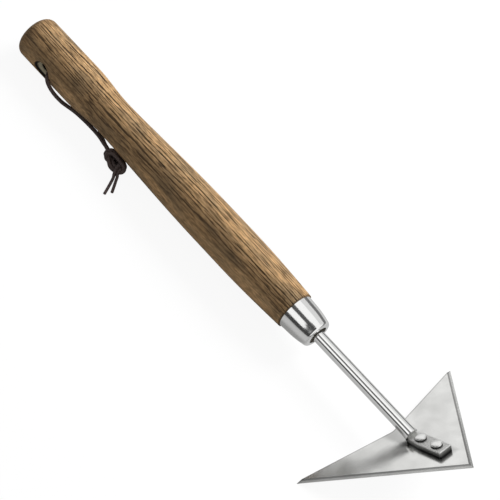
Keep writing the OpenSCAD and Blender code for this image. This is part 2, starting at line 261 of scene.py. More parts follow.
def addFerrule():
    f = ferrule
    taper = math.atan((f["mouthRadius"] - f["noseRadius"]) / f["length"])
    edgeX = f["length"] - f["edge"]
    edgeR = f["mouthRadius"] - edgeX * math.tan(taper) - f["edge"] / math.cos(taper)

    def arc(radius):
        steps = f["edgeSteps"]
        angles = [(math.pi / 2 - taper) * (1 - i / steps) for i in range(steps + 1)]
        return [(edgeX + radius * math.cos(a), edgeR + radius * math.sin(a)) for a in angles]

    def crowned(share):
        x = share * edgeX
        bulge = f["crown"] * math.sin(math.pi * share ** f["crownLean"])
        return x, f["mouthRadius"] - x * math.tan(taper) + bulge

    inner = f["wall"] / math.cos(taper)
    rim = f["rim"]
    outline = [(0, f["mouthRadius"] - inner), (0, f["mouthRadius"] - rim), (rim, f["mouthRadius"])]
    outline += [crowned(i / f["crownSteps"]) for i in range(1, f["crownSteps"])]
    outline += arc(f["edge"])
    outline += [(f["length"], f["holeRadius"] + rim), (f["length"] - rim, f["holeRadius"])]
    outline += [(f["length"] - f["wall"], f["holeRadius"])]
    outline += list(reversed(arc(f["edge"] - f["wall"])))
    bm = bmesh.new()
    verts = [bm.verts.new((x + f["start"], 0, r)) for x, r in outline]
    edges = [bm.edges.new((verts[i], verts[(i + 1) % len(verts)])) for i in range(len(verts))]
    bmesh.ops.spin(bm, geom=verts + edges, cent=(0, 0, 0), axis=(1, 0, 0), angle=math.tau,
                   steps=f["roundSteps"], use_merge=True)
    bmesh.ops.remove_doubles(bm, verts=bm.verts, dist=1e-7)
    bmesh.ops.recalc_face_normals(bm, faces=bm.faces)
    bmesh.ops.transform(bm, matrix=handleFrame, verts=bm.verts)
    return addMesh("ferruleShell", bm)


ferruleShell = addFerrule()
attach(ferruleShell, "root")
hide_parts("ferrule")
print("ferrule spun")

# Shank: a round rod, cut at the step where its end was forged flat into the tang. Millimetres.
forging = {
    "rodRadius": 4.5,
    "rodStart": 226.3,
    "rodChamfer": 0.4,
    "rodSteps": 96,
    "bendAt": 400.3,
    "bendAngle": 35.7,
    "flare": [(-9.5, 0), (-6.5, 0.1), (-4, 0.4), (-1.5, 1.0), (1.5, 1.9), (7, 2.9)],
    "stepFoot": (-2.2, 0, 2.2),
    "stepLean": 31,
    "heel": (-4.65, 0.4),
    "tangThick": 4.4,
    "tangHalf": [(-4.4, 2.5), (-1.9, 4.1), (7.5, 5.7), (28.2, 5.7)],
    "edgeRound": 0.8,
    "cornerRound": 0.9,
    "shoulderRound": 3,
    "sharp": 40,
}
tangBack = forging["tangHalf"][0][0]
tangShoulder = forging["tangHalf"][2][0]
tangEnd, tangSide = forging["tangHalf"][3]
tangTop = forging["tangThick"] / 2
# The bend's own frame: x along the tang towards the blade's tip, z square to the blade
bendTilt = handleTilt + math.radians(forging["bendAngle"])
bendPlace = handleFrame @ Vector((forging["bendAt"] * millimetre, 0, 0))


def cutAway(bm, place, direction):
    everything = bm.verts[:] + bm.edges[:] + bm.faces[:]
    cut = bmesh.ops.bisect_plane(bm, geom=everything, dist=1e-6, plane_co=place, plane_no=direction,
                                 clear_outer=True)
    rim = [e for e in cut["geom_cut"] if isinstance(e, bmesh.types.BMEdge)]
    if rim:
        bmesh.ops.edgeloop_fill(bm, edges=rim)


def addShank():
    f = forging
    bend = math.radians(f["bendAngle"])
    toHandle = Matrix.Translation((f["bendAt"], 0, 0)) @ Matrix.Rotation(-bend, 4, "Y")
    heelFace = Vector((math.sin(bend / 2), 0, math.cos(bend / 2)))
    heelPlace = Vector((f["heel"][0], 0, -tangTop)) + f["heel"][1] * heelFace

    rod = bmesh.new()
    ends = [(f["rodStart"], 0), (f["rodStart"] + f["rodChamfer"], f["rodRadius"])]
    ends += [(f["bendAt"] + x, f["rodRadius"] + grow) for x, grow in f["flare"]]
    ends += [(f["bendAt"] + f["flare"][-1][0], 0)]
    verts = [rod.verts.new((x, 0, r)) for x, r in ends]
    edges = [rod.edges.new(pair) for pair in zip(verts, verts[1:])]
    bmesh.ops.spin(rod, geom=verts + edges, cent=(0, 0, 0), axis=(1, 0, 0), angle=math.tau,
                   steps=f["rodSteps"], use_merge=True)
    bmesh.ops.remove_doubles(rod, verts=rod.verts, dist=1e-4)
    bmesh.ops.transform(rod, matrix=toHandle.inverted(), verts=rod.verts)
    lean = math.radians(f["stepLean"])
    cutAway(rod, f["stepFoot"], (math.cos(lean), 0, -math.sin(lean)))
    cutAway(rod, (0, 0, -tangTop), (0, 0, -1))
    cutAway(rod, heelPlace, -heelFace)

    tang = bmesh.new()
    outline = f["tangHalf"] + [(x, -y) for x, y in reversed(f["tangHalf"])]
    tang.faces.new([tang.verts.new((x, y, -tangTop)) for x, y in outline])
    raised = bmesh.ops.extrude_face_region(tang, geom=tang.faces[:])["geom"]
    raised = [v for v in raised if isinstance(v, bmesh.types.BMVert)]
    bmesh.ops.translate(tang, vec=(0, 0, f["tangThick"]), verts=raised)
    bmesh.ops.recalc_face_normals(tang, faces=tang.faces)
    for at, size in ((tangShoulder, f["shoulderRound"]), (tangEnd, f["cornerRound"])):
        posts = [e for e in tang.edges if abs(e.verts[0].co.z - e.verts[1].co.z) > 1]
        posts = [e for e in posts if all(abs(v.co.x - at) < 0.01 for v in e.verts)]
        bmesh.ops.bevel(tang, geom=posts, offset=size, affect="EDGES", segments=5, profile=0.5,
                        material=-1, offset_type="OFFSET")
    # The top's edges are rounded, apart from the back one, which is inside the rod
    top = [e for e in tang.edges if all(v.co.z > 0 for v in e.verts)]
    top = [e for e in top if max(v.co.x for v in e.verts) > tangBack + 0.1]
    bmesh.ops.bevel(tang, geom=top, offset=f["edgeRound"], affect="EDGES", segments=4, profile=0.5,
                    material=-1, offset_type="OFFSET")
    cutAway(tang, heelPlace, -heelFace)

    joined = bpy.data.meshes.new("tang")
    tang.to_mesh(joined)
    tang.free()
    rod.from_mesh(joined)
    bpy.data.meshes.remove(joined)
    bmesh.ops.recalc_face_normals(rod, faces=rod.faces)
    place = handleFrame @ Matrix.Scale(millimetre, 4) @ toHandle
    bmesh.ops.transform(rod, matrix=place, verts=rod.verts)
    return addMesh("forgedShank", rod, f["sharp"])


forgedShank = addShank()
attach(forgedShank, "root")
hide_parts("shank")
print("shank forged")

# Turned pieces: the CAD shapes with their facets merged, so that light runs round them evenly
smoothed = {
    "handle": {"piece": "turnedGrip", "slot": "stained_wood", "sharp": 28},
    "rear_rivet": {"piece": "rearRivet", "slot": "satin_steel", "sharp": 32},
    "front_rivet": {"piece": "frontRivet", "slot": "satin_steel", "sharp": 32},
}


def addSmoothed(node, piece, slot, sharp):
    bm = bmesh.new()
    bm.from_mesh(nodes[node].data)
    bmesh.ops.remove_doubles(bm, verts=bm.verts, dist=2e-6)
    obj = addMesh(piece, bm, sharp)
    obj.data.materials.clear()
    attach(obj, "root")
    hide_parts(node)
    return obj


pieces = {node: addSmoothed(node, **facts) for node, facts in smoothed.items()}
print("grip and rivets smoothed")

# Where the materials measure from, with their Object coordinates turned into millimetres:
# the wood from the butt along the grip, the forged steel and the plate from the bend along the tang
gripMapping = {"Location": handlePlace, "Rotation": (0, -handleTilt, 0), "Scale": (millimetre,) * 3}
bendMapping = {"Location": bendPlace, "Rotation": (0, -bendTilt, 0), "Scale": (millimetre,) * 3}

# Stained ash, turned and oiled: the open pores of each growth ring's early wood show as dark broken lines.
# The rings stand across the top, close together, and lie flat on the two flanks, which look quiet.
ash = {
    "light": "#e0b888",
    "middle": "#c39a6a",
    "grey": "#8b795f",
    "pore": "#1c1004",
    "heart": "#6c5437",
    "buttEnd": "#6d563c",
    "joint": "#2e2318",
    # painted light: pale wood end inside the ferrule, for the bright ring in its hole
    "paintedNoseLight": "#c9c4b8",
    # painted shade: black inside the hanging hole; the pale strip on the next line is painted light
    "bore": "#100c09",
    "paintedLitStrip": "#d6ccb0",
    "roughness": 0.6,
    "sheen": 0.2,  # the oil has dried in, so little of it shines
    "ringWidth": 1.95,
    "ringWander": 9,
    "yearSpread": 3.2,
    "dashLength": 14,
    "dashWidth": 0.9,
    "wanderScale": (0.007, 0.03, 0.03),
    "yearScale": (0.004, 0.3, 0.3),
    "fibreScale": (0.05, 1.4, 1.4),
    "patchScale": (0.03, 0.12, 0.12),
    "fleckScale": (0.22, 1.5, 1.5),
    "yearDepth": {"To Min": 0.35, "To Max": 1.3},
    "earlyRise": {"From Max": 0.06},
    "earlyFall": {"From Min": 0.3, "From Max": 0.42, "To Min": 1, "To Max": 0},
    "heartNear": {"From Min": -11, "From Max": -8},
    "heartFar": {"From Min": -4, "From Max": 5, "To Min": 1, "To Max": 0},
    "heartDepth": 0.35,
    "heartStain": 0.4,
    "dashBreaks": {"From Min": 0.4, "From Max": 0.47, "To Min": 0.1},
    "strayPores": {"From Min": 0.56, "From Max": 0.63, "To Max": 0.7},
    "flanks": {"From Min": 12, "From Max": 15.5, "To Min": 1, "To Max": 0.3},
    "poreStain": 0.95,
    "fibreTone": {"From Min": 0.3, "From Max": 0.7},
    "patchTone": {"From Min": 0.4, "From Max": 0.7, "To Max": 0.7},
    "fleckTone": {"From Min": 0.3, "From Max": 0.7, "To Min": 0.6, "To Max": 1.36},
    "buttSpan": {"From Min": 0, "From Max": 13, "To Min": 0.7, "To Max": 0},
    "jointSpan": {"From Min": 280, "From Max": 280.9, "To Max": 0.6},
    "noseLightSpan": {"From Min": 300.4, "From Max": 300.9},
    "holeAt": 28.5,
    "holeReach": 9.5,
    "holeDepth": {"From Min": 15.7, "From Max": 16.3, "To Min": 1, "To Max": 0},
    "litStripOuter": {"From Min": 13.8, "From Max": 14.7, "To Min": 1, "To Max": 0},
    "litStripInner": {"From Min": 11.8, "From Max": 12.4},
    "relief": {"Strength": 0.5, "Distance": 0.0002},
}


def stainedWood():
    w = ash
    material, tree, shader = newMaterial("stainedAsh")
    coords = addNode(tree, "ShaderNodeTexCoord").outputs["Object"]
    grip = addNode(tree, "ShaderNodeMapping", {"Vector": coords, **gripMapping},
                   vector_type="TEXTURE").outputs["Vector"]
    parts = addNode(tree, "ShaderNodeSeparateXYZ", {"Vector": grip}).outputs
    x, y, z = parts["X"], parts["Y"], parts["Z"]
    # Growth rings: planes square to Y that wander a few millimetres along the grip
    slow = addNode(tree, "ShaderNodeMapping", {"Vector": grip, "Scale": w["wanderScale"]}).outputs["Vector"]
    wander = addNode(tree, "ShaderNodeTexNoise", {"Vector": slow, "Scale": 1, "Detail": 1.5}).outputs["Fac"]
    ringPlace = addNode(tree, "ShaderNodeMath", {0: wander, 1: w["ringWander"], 2: y},
                        operation="MULTIPLY_ADD").outputs[0]
    # Wide and narrow years
    years = addNode(tree, "ShaderNodeMapping", {"Vector": grip, "Scale": w["yearScale"]}).outputs["Vector"]
    years = addNode(tree, "ShaderNodeTexNoise", {"Vector": years, "Scale": 1, "Detail": 1}).outputs["Fac"]
    ringCount = addNode(tree, "ShaderNodeMath", {0: years, 1: w["yearSpread"], 2: ringPlace},
                        operation="MULTIPLY_ADD").outputs[0]
    ringCount = addNode(tree, "ShaderNodeMath", {0: ringCount, 1: w["ringWidth"]},
                        operation="DIVIDE").outputs[0]
    ring = addNode(tree, "ShaderNodeMath", {0: ringCount}, operation="FRACT").outputs[0]
    ringName = addNode(tree, "ShaderNodeMath", {0: ringCount}, operation="FLOOR").outputs[0]
    year = addNode(tree, "ShaderNodeTexWhiteNoise", {"W": ringName}, noise_dimensions="1D").outputs["Value"]
    depth = addNode(tree, "ShaderNodeMapRange", {"Value": year, **w["yearDepth"]}).outputs["Result"]
    rise = addNode(tree, "ShaderNodeMapRange", {"Value": ring, **w["earlyRise"]}).outputs["Result"]
    fall = addNode(tree, "ShaderNodeMapRange", {"Value": ring, **w["earlyFall"]}).outputs["Result"]
    early = addNode(tree, "ShaderNodeMath", {0: rise, 1: fall}, operation="MULTIPLY").outputs[0]
    # A dark heart streak runs down the grip beside the near flank
    heartNear = addNode(tree, "ShaderNodeMapRange", {"Value": ringPlace, **w["heartNear"]},
                        interpolation_type="SMOOTHSTEP").outputs["Result"]
    heartFar = addNode(tree, "ShaderNodeMapRange", {"Value": ringPlace, **w["heartFar"]},
                       interpolation_type="SMOOTHSTEP").outputs["Result"]
    heart = addNode(tree, "ShaderNodeMath", {0: heartNear, 1: heartFar}, operation="MULTIPLY").outputs[0]
    # Pores break the lines into dashes about 1 mm wide, drawn wider than real ones so that they show
    dashCoords = addNode(tree, "ShaderNodeMapping", {
        "Vector": grip, "Scale": (1 / w["dashLength"], 1 / w["dashWidth"], 1 / w["dashWidth"]),
    }).outputs["Vector"]
    dashNoise = addNode(tree, "ShaderNodeTexNoise", {
        "Vector": dashCoords, "Scale": 1, "Detail": 2,
    }).outputs["Fac"]
    dash = addNode(tree, "ShaderNodeMapRange", {"Value": dashNoise, **w["dashBreaks"]}).outputs["Result"]
    weight = addNode(tree, "ShaderNodeMath", {0: heart, 1: w["heartDepth"], 2: depth},
                     operation="MULTIPLY_ADD").outputs[0]
    line = addNode(tree, "ShaderNodeMath", {0: early, 1: dash}, operation="MULTIPLY").outputs[0]
    line = addNode(tree, "ShaderNodeMath", {0: line, 1: weight}, operation="MULTIPLY").outputs[0]
    stray = addNode(tree, "ShaderNodeMapRange", {"Value": dashNoise, **w["strayPores"]}).outputs["Result"]
    pores = addNode(tree, "ShaderNodeMath", {0: line, 1: stray}, operation="MAXIMUM", use_clamp=True).outputs[0]
    # The rings lie flat on the two flanks, so hardly a pore is cut open there
    aside = addNode(tree, "ShaderNodeMath", {0: y}, operation="ABSOLUTE").outputs[0]
    quiet = addNode(tree, "ShaderNodeMapRange", {"Value": aside, **w["flanks"]}).outputs["Result"]
    pores = addNode(tree, "ShaderNodeMath", {0: pores, 1: quiet}, operation="MULTIPLY").outputs[0]
    # Fibres: fine long lines, patches where the stain has taken grey, and short flecks
    fibre = addNode(tree, "ShaderNodeMapping", {"Vector": grip, "Scale": w["fibreScale"]}).outputs["Vector"]
    fibre = addNode(tree, "ShaderNodeTexNoise", {
        "Vector": fibre, "Scale": 1, "Detail": 4, "Roughness": 0.7,
    }).outputs["Fac"]
    fibre = addNode(tree, "ShaderNodeMapRange", {"Value": fibre, **w["fibreTone"]}).outputs["Result"]
    patch = addNode(tree, "ShaderNodeMapping", {"Vector": grip, "Scale": w["patchScale"]}).outputs["Vector"]
    patch = addNode(tree, "ShaderNodeTexNoise", {"Vector": patch, "Scale": 1, "Detail": 2}).outputs["Fac"]
    patch = addNode(tree, "ShaderNodeMapRange", {"Value": patch, **w["patchTone"]}).outputs["Result"]
    fleck = addNode(tree, "ShaderNodeMapping", {"Vector": grip, "Scale": w["fleckScale"]}).outputs["Vector"]
    fleck = addNode(tree, "ShaderNodeTexNoise", {"Vector": fleck, "Scale": 1, "Detail": 1}).outputs["Fac"]
    fleck = addNode(tree, "ShaderNodeMapRange", {"Value": fleck, **w["fleckTone"]}).outputs["Result"]
    stain = addNode(tree, "ShaderNodeMath", {0: heart, 1: w["heartStain"]}, operation="MULTIPLY").outputs[0]
    inked = addNode(tree, "ShaderNodeMath", {0: pores, 1: w["poreStain"]}, operation="MULTIPLY").outputs[0]
    # Darker over the butt's rounded end, dirt darkening the last millimetre against the ferrule,
    # and a pale colour on the wood's end inside it: painted light for the bright ring in the ferrule's hole
    butt = addNode(tree, "ShaderNodeMapRange", {"Value": x, **w["buttSpan"]}).outputs["Result"]
    joint = addNode(tree, "ShaderNodeMapRange", {"Value": x, **w["jointSpan"]}).outputs["Result"]
    noseLit = addNode(tree, "ShaderNodeMapRange", {"Value": x, **w["noseLightSpan"]}).outputs["Result"]
    # Inside the hanging hole: painted shade in black, with a pale strip half way down the countersink painted
    # in as its lit facet
    flat = addNode(tree, "ShaderNodeCombineXYZ", {"Y": y, "Z": z}).outputs[0]
    radius = addNode(tree, "ShaderNodeVectorMath", {0: flat}, operation="LENGTH").outputs["Value"]
    inside = addNode(tree, "ShaderNodeMapRange", {"Value": radius, **w["holeDepth"]}).outputs["Result"]
    fromHole = addNode(tree, "ShaderNodeMath", {0: x, 1: w["holeAt"]}, operation="SUBTRACT").outputs[0]
    fromHole = addNode(tree, "ShaderNodeMath", {0: fromHole}, operation="ABSOLUTE").outputs[0]
    atHole = addNode(tree, "ShaderNodeMath", {0: fromHole, 1: w["holeReach"]}, operation="LESS_THAN").outputs[0]
    inside = addNode(tree, "ShaderNodeMath", {0: inside, 1: atHole}, operation="MULTIPLY").outputs[0]
    outer = addNode(tree, "ShaderNodeMapRange", {"Value": radius, **w["litStripOuter"]}).outputs["Result"]
    inner = addNode(tree, "ShaderNodeMapRange", {"Value": radius, **w["litStripInner"]}).outputs["Result"]
    paintedLitStrip = addNode(tree, "ShaderNodeMath", {0: outer, 1: inner}, operation="MULTIPLY").outputs[0]
    holeShadeAndLight = addNode(tree, "ShaderNodeMix", {
        "Factor": paintedLitStrip, colourA: linear(w["bore"]), colourB: linear(w["paintedLitStrip"]),
    }, data_type="RGBA").outputs[colourOut]
    # The colours, each laid over the ones before it
    colour = linear(w["middle"])
    coats = [
        (fibre, linear(w["light"]), "MIX"),
        (patch, linear(w["grey"]), "MIX"),
        (1, fleck, "MULTIPLY"),
        (stain, linear(w["heart"]), "MIX"),
        (inked, linear(w["pore"]), "MIX"),
        (butt, linear(w["buttEnd"]), "MIX"),
        (joint, linear(w["joint"]), "MIX"),
        (noseLit, linear(w["paintedNoseLight"]), "MIX"),
        (inside, holeShadeAndLight, "MIX"),
    ]
    for amount, coat, way in coats:
        colour = addNode(tree, "ShaderNodeMix", {"Factor": amount, colourA: colour, colourB: coat},
                         data_type="RGBA", blend_type=way).outputs[colourOut]
    tree.links.new(colour, shader.inputs["Base Color"])
    shader.inputs["Roughness"].default_value = w["roughness"]
    shader.inputs["Specular IOR Level"].default_value = w["sheen"]
    sunk = addNode(tree, "ShaderNodeMath", {0: pores, 1: -1}, operation="MULTIPLY").outputs[0]
    bump = addNode(tree, "ShaderNodeBump", {"Height": sunk, **w["relief"]})
    tree.links.new(bump.outputs["Normal"], shader.inputs["Normal"])
    return material


# Stainless steel, mirror polished: nearly clear reflections, with faint polishing streaks
mirror = {
    "colour": "#f4f4f3",
    "streakScale": (120, 2500, 2500),
    "roughness": {"To Min": 0.1, "To Max": 0.17},
}


def polishedSteel():
    material, tree, shader = newMaterial("polishedStainless")
    coords = addNode(tree, "ShaderNodeTexCoord").outputs["Object"]
    streaks = addNode(tree, "ShaderNodeMapping", {
        "Vector": coords, "Scale": mirror["streakScale"],
    }).outputs["Vector"]
    haze = addNode(tree, "ShaderNodeTexNoise", {"Vector": streaks, "Scale": 1, "Detail": 2}).outputs["Fac"]
    rough = addNode(tree, "ShaderNodeMapRange", {"Value": haze, **mirror["roughness"]}).outputs["Result"]
    tree.links.new(rough, shader.inputs["Roughness"])
    shader.inputs["Base Color"].default_value = linear(mirror["colour"])
    shader.inputs["Metallic"].default_value = 1
    return material


# Bright stainless rod; its forged end is dull scale, painted brighter along the edges, partly as wear and
# partly as painted highlight. Millimetres.
forgedFinish = {
    "rod": "#f4f4f3",
    "scale": "#d2d2d0",
    "dark": "#a6a6a4",
    # edge wear and painted highlight on the tang's edges, painted light on its top by the step
    "wearAndHighlight": "#f6f6f4",
    # painted shade down the tang's sides towards the blade
    "creaseShade": "#0c0c0c",
    "step": "#c4c4c2",
    "cutEnd": "#747472",
    # painted shade on the rod's face turned to the blade, near the bend
    "underside": "#242424",
    "rodRoughness": 0.1,
    "tangRoughness": {"To Min": 0.3, "To Max": 0.5},
    "mottle": {"From Min": 0.35, "From Max": 0.65},
    "nearSide": {"From Min": tangSide - 0.9, "From Max": tangSide - 0.35},
    "nearEnd": {"From Min": tangEnd - 0.9, "From Max": tangEnd - 0.35},
    "nearTop": {"From Min": tangTop - 0.9, "From Max": tangTop - 0.45},
    # painted light on the tang's top next to the step
    "paintedLightNearStep": {"From Min": 1.5, "From Max": 4.5, "To Min": 1, "To Max": 0},
    "endSpan": {"From Min": tangEnd - 0.3, "From Max": tangEnd - 0.05, "To Max": 0.85},
    "creaseShadeSpan": {"From Min": -1.9, "From Max": 1.2, "To Min": 1, "To Max": 0},
    "stepBlend": 0.25,
    "stepSkin": 0.08,
    "stepLow": 2.25,
    "underDepth": {"From Min": -2.6, "From Max": -0.6, "To Min": 1, "To Max": 0},
    "underSpan": {"From Min": -26, "From Max": -6},
    "relief": {"Strength": 0.5, "Distance": 0.0003},
}


def shankSteel():
    f = forgedFinish
    material, tree, shader = newMaterial("shankStainless")
    coords = addNode(tree, "ShaderNodeTexCoord").outputs["Object"]
    tang = addNode(tree, "ShaderNodeMapping", {"Vector": coords, **bendMapping},
                   vector_type="TEXTURE").outputs["Vector"]
    parts = addNode(tree, "ShaderNodeSeparateXYZ", {"Vector": tang}).outputs
    x, y, z = parts["X"], parts["Y"], parts["Z"]
    # Forged past the leaning step, and plain rod before it
    lean = math.radians(forging["stepLean"])
    square = (math.cos(lean), 0, -math.sin(lean))
    past = addNode(tree, "ShaderNodeVectorMath", {0: tang, 1: square}, operation="DOT_PRODUCT").outputs["Value"]
    foot = Vector(square).dot(Vector(forging["stepFoot"]))
    forged = addNode(tree, "ShaderNodeMapRange", {
        "Value": past, "From Min": foot - f["stepBlend"], "From Max": foot + f["stepBlend"],
    }).outputs["Result"]
    grit = addNode(tree, "ShaderNodeTexNoise", {
        "Vector": tang, "Scale": 0.9, "Detail": 4, "Roughness": 0.65,
    }).outputs["Fac"]
    mottle = addNode(tree, "ShaderNodeMapRange", {"Value": grit, **f["mottle"]}).outputs["Result"]
    # Painted bright close to the top face and close to a side or the end, partly as edge wear and partly as
    # painted highlight; the top next to the step is painted light where it reflects the rod's dark side
    side = addNode(tree, "ShaderNodeMath", {0: y}, operation="ABSOLUTE").outputs[0]
    nearSide = addNode(tree, "ShaderNodeMapRange", {"Value": side, **f["nearSide"]}).outputs["Result"]
    nearEnd = addNode(tree, "ShaderNodeMapRange", {"Value": x, **f["nearEnd"]}).outputs["Result"]
    nearTop = addNode(tree, "ShaderNodeMapRange", {"Value": z, **f["nearTop"]}).outputs["Result"]
    paintedLightNearStep = addNode(tree, "ShaderNodeMapRange", {"Value": x, **f["paintedLightNearStep"]}).outputs["Result"]
    rim = addNode(tree, "ShaderNodeMath", {0: nearSide, 1: nearEnd}, operation="MAXIMUM").outputs[0]
    rim = addNode(tree, "ShaderNodeMath", {0: rim, 1: paintedLightNearStep}, operation="MAXIMUM").outputs[0]
    wearAndHighlight = addNode(tree, "ShaderNodeMath", {0: rim, 1: nearTop}, operation="MULTIPLY").outputs[0]
    atEnd = addNode(tree, "ShaderNodeMapRange", {"Value": x, **f["endSpan"]}).outputs["Result"]
    # Painted shade darkening the tang's sides towards where they meet the blade, and the cut face of the step
    creaseShade = addNode(tree, "ShaderNodeMapRange", {"Value": z, **f["creaseShadeSpan"]}).outputs["Result"]
    onStep = addNode(tree, "ShaderNodeMath", {0: past, 1: foot, 2: f["stepSkin"]},
                     operation="COMPARE").outputs[0]
    above = addNode(tree, "ShaderNodeMath", {0: z, 1: f["stepLow"]}, operation="GREATER_THAN").outputs[0]
    onStep = addNode(tree, "ShaderNodeMath", {0: onStep, 1: above}, operation="MULTIPLY").outputs[0]
    # Painted shade on the rod towards the bend, on the face turned down to the blade
    bend = math.radians(forging["bendAngle"])
    level = addNode(tree, "ShaderNodeVectorMath", {0: tang, 1: (math.sin(bend), 0, math.cos(bend))},
                    operation="DOT_PRODUCT").outputs["Value"]
    under = addNode(tree, "ShaderNodeMapRange", {"Value": level, **f["underDepth"]}).outputs["Result"]
    along = addNode(tree, "ShaderNodeMapRange", {"Value": x, **f["underSpan"]}).outputs["Result"]
    onRod = addNode(tree, "ShaderNodeMath", {0: 1, 1: forged}, operation="SUBTRACT").outputs[0]
    underShade = addNode(tree, "ShaderNodeMath", {0: under, 1: along}, operation="MULTIPLY").outputs[0]
    underShade = addNode(tree, "ShaderNodeMath", {0: underShade, 1: onRod}, operation="MULTIPLY").outputs[0]
    # The forged end's colours, each laid over the ones before it, and then the rod's
    colour = linear(f["dark"])
    coats = [(mottle, f["scale"]), (wearAndHighlight, f["wearAndHighlight"]), (atEnd, f["cutEnd"]), (creaseShade, f["creaseShade"])]
    for amount, coat in coats:
        colour = addNode(tree, "ShaderNodeMix", {"Factor": amount, colourA: colour, colourB: linear(coat)},
                         data_type="RGBA").outputs[colourOut]
    colour = addNode(tree, "ShaderNodeMix", {"Factor": forged, colourA: linear(f["rod"]), colourB: colour},
                     data_type="RGBA").outputs[colourOut]
    for amount, coat in ((onStep, f["step"]), (underShade, f["underside"])):
        colour = addNode(tree, "ShaderNodeMix", {"Factor": amount, colourA: colour, colourB: linear(coat)},
                         data_type="RGBA").outputs[colourOut]
    tree.links.new(colour, shader.inputs["Base Color"])
    satin = addNode(tree, "ShaderNodeMapRange", {"Value": grit, **f["tangRoughness"]}).outputs["Result"]
    rough = addNode(tree, "ShaderNodeMix", {"Factor": forged, "A": f["rodRoughness"], "B": satin}).outputs[0]
    tree.links.new(rough, shader.inputs["Roughness"])
    shader.inputs["Metallic"].default_value = 1
    height = addNode(tree, "ShaderNodeMath", {0: grit, 1: forged}, operation="MULTIPLY").outputs[0]
    bump = addNode(tree, "ShaderNodeBump", {"Height": height, **f["relief"]})
    tree.links.new(bump.outputs["Normal"], shader.inputs["Normal"])
    return material


# Stainless plate, belt-ground to satin: reflections blur, with fine lines along the belt's run.
# The two front bevels are darker within and lighter along the edge. Millimetres in the bend's frame.
plateFinish = {
    "low": "#d4d4d2",
    "high": "#e8e8e6",
    "roughness": {"To Min": 0.15, "To Max": 0.25},
    "beltScale": (1.6, 0.03, 1),
    "cloudScale": 0.045,
    "cloudTone": {"From Min": 0.35, "From Max": 0.65},
    "frontSquare": (-0.6473, -0.7621, 0),
    "frontAt": 33.34,
    "bevel": 2.6,
    "bevelInnerTone": {"From Min": 1, "From Max": 1.7, "To Min": 1, "To Max": 0.5},
    "backSquare": (0.9772, 0.2124, 0),
    "backAt": 20.03,
    "backEdgeTone": {"From Min": 0.4, "From Max": 1, "To Min": 0.6, "To Max": 1},
    # painted shade on the blade round the tang
    "tangShadeFalloff": {"From Max": 5, "To Min": 0.7, "To Max": 1},
    "relief": {"Strength": 0.15, "Distance": 0.0001},
}


